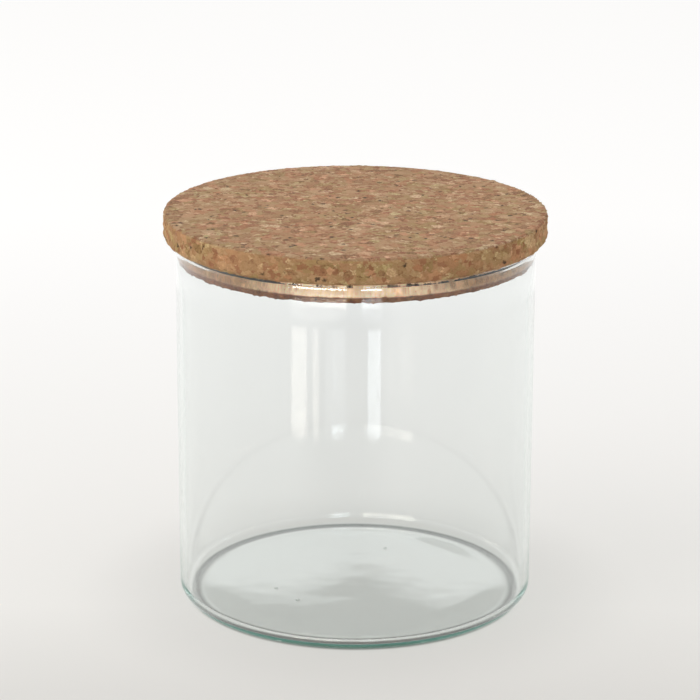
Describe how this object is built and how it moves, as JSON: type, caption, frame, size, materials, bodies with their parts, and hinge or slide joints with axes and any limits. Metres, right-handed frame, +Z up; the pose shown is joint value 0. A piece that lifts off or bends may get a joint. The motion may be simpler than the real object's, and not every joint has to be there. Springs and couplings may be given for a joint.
{
  "type": "glass jar with cork lid",
  "caption": "Straight-sided round storage jar of clear glass with a low, rounded bead at its lip, closed by a flat cork lid whose plug sits in the mouth.",
  "frame": {"origin": "middle of the jar's foot, on the surface that it stands on", "axes": "+Z up along the jar's axis of revolution, out through the lid; X and Y are across the jar"},
  "size_m": [0.1256, 0.1256, 0.131],
  "materials": {
    "clear_glass": "gloss",
    "cork": "matte"
  },
  "bodies": {
    "jar": {"glass_jar": "clear_glass"},
    "lid": {"cork_disc": "cork", "cork_plug": "cork"}
  },
  "joints": [
    {"name": "lid_lift", "type": "slide", "parent": "jar", "child": "lid", "axis": [0, 0, 1], "range_m": [0, 0.1]}
  ]
}
